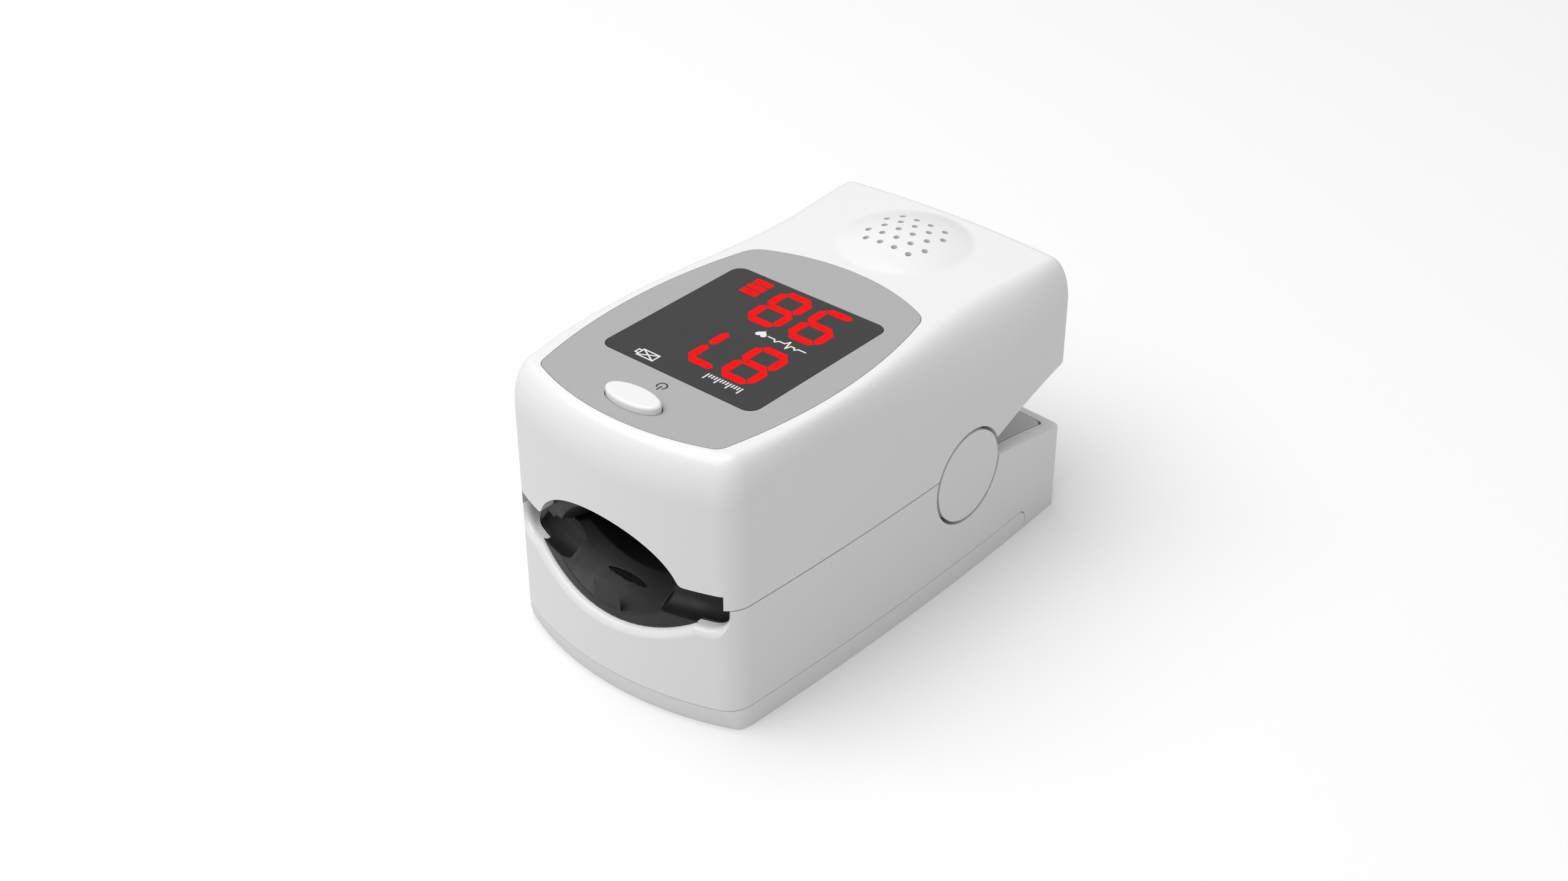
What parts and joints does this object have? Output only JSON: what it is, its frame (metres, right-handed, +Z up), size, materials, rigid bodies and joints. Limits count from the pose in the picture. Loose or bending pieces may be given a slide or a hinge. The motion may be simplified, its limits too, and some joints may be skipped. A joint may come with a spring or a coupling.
{
  "type": "fingertip pulse oximeter",
  "caption": "Clip-on fingertip pulse oximeter: two sprung jaws with black silicone pads, red segment display, power button, speaker dome and sliding battery cover.",
  "frame": {"origin": "middle of the device's outline, on the surface that it rests on", "axes": "+Z up, the finger goes in from -Y towards +Y, +X is the right side seen from the finger opening"},
  "size_m": [0.034, 0.061, 0.0345],
  "materials": {
    "shell_white": "smooth white moulded plastic, soft gloss",
    "faceplate_grey": "flat light grey printed panel, satin",
    "window_dark": "dark flush display window, satin gloss",
    "display_red": "lit red display segments",
    "print_white": "white printed marks under the window",
    "print_dark": "dark printed mark on the faceplate",
    "pad_black": "black silicone, soft satin",
    "inner_grey": "off-white inner plastic, fine matt grain",
    "board_green": "green solder mask",
    "chip_black": "black chip package",
    "spring_steel": "drawn spring steel",
    "contact_steel": "nickel-plated sheet",
    "cell_jacket": "plain dark cell jacket with bare steel ends",
    "lens_clear": "dark red optical window",
    "speaker_black": "black speaker can",
    "foam_grey": "grey foam ring"
  },
  "bodies": {
    "lower_jaw": {"lower_shell": "shell_white", "lower_inner_cover": "inner_grey", "lower_finger_pad": "pad_black", "photodiode": "lens_clear", "battery_1": "cell_jacket", "battery_2": "cell_jacket", "battery_frame": "inner_grey", "battery_contacts": "contact_steel", "battery_springs": "spring_steel", "hinge_pin": "spring_steel", "torsion_spring": "spring_steel", "hinge_cap_left": "shell_white", "hinge_cap_right": "shell_white", "lower_screws": "spring_steel"},
    "upper_jaw": {"upper_shell": "shell_white", "faceplate": "faceplate_grey", "display_window": "window_dark", "display_module": "chip_black", "display_segments": "display_red", "main_pcb": "board_green", "processor_chip": "chip_black", "pcb_capacitors": "chip_black", "button_switch": "chip_black", "display_pins": "contact_steel", "speaker": "speaker_black", "speaker_gasket": "foam_grey", "upper_inner_cover": "inner_grey", "upper_finger_pad": "pad_black", "led_emitter": "lens_clear", "upper_screws": "spring_steel"},
    "power_button": {"power_button": "shell_white"},
    "battery_cover": {"battery_cover": "shell_white"}
  },
  "joints": [
    {"name": "jaw_hinge", "type": "hinge", "parent": "lower_jaw", "child": "upper_jaw", "pos_m": [0, 0.0101, 0.0137], "axis": [-1, 0, 0], "range_deg": [0, 25], "stiffness_Nm_per_rad": 0.25, "springref_deg": -20.05},
    {"name": "power_button_press", "type": "slide", "parent": "upper_jaw", "child": "power_button", "axis": [0, 0, -1], "range_m": [0, 0.0005], "stiffness_N_per_m": 400, "springref_m": -0.0004},
    {"name": "battery_cover_slide", "type": "slide", "parent": "lower_jaw", "child": "battery_cover", "axis": [0, -1, 0], "range_m": [0, 0.03]}
  ]
}
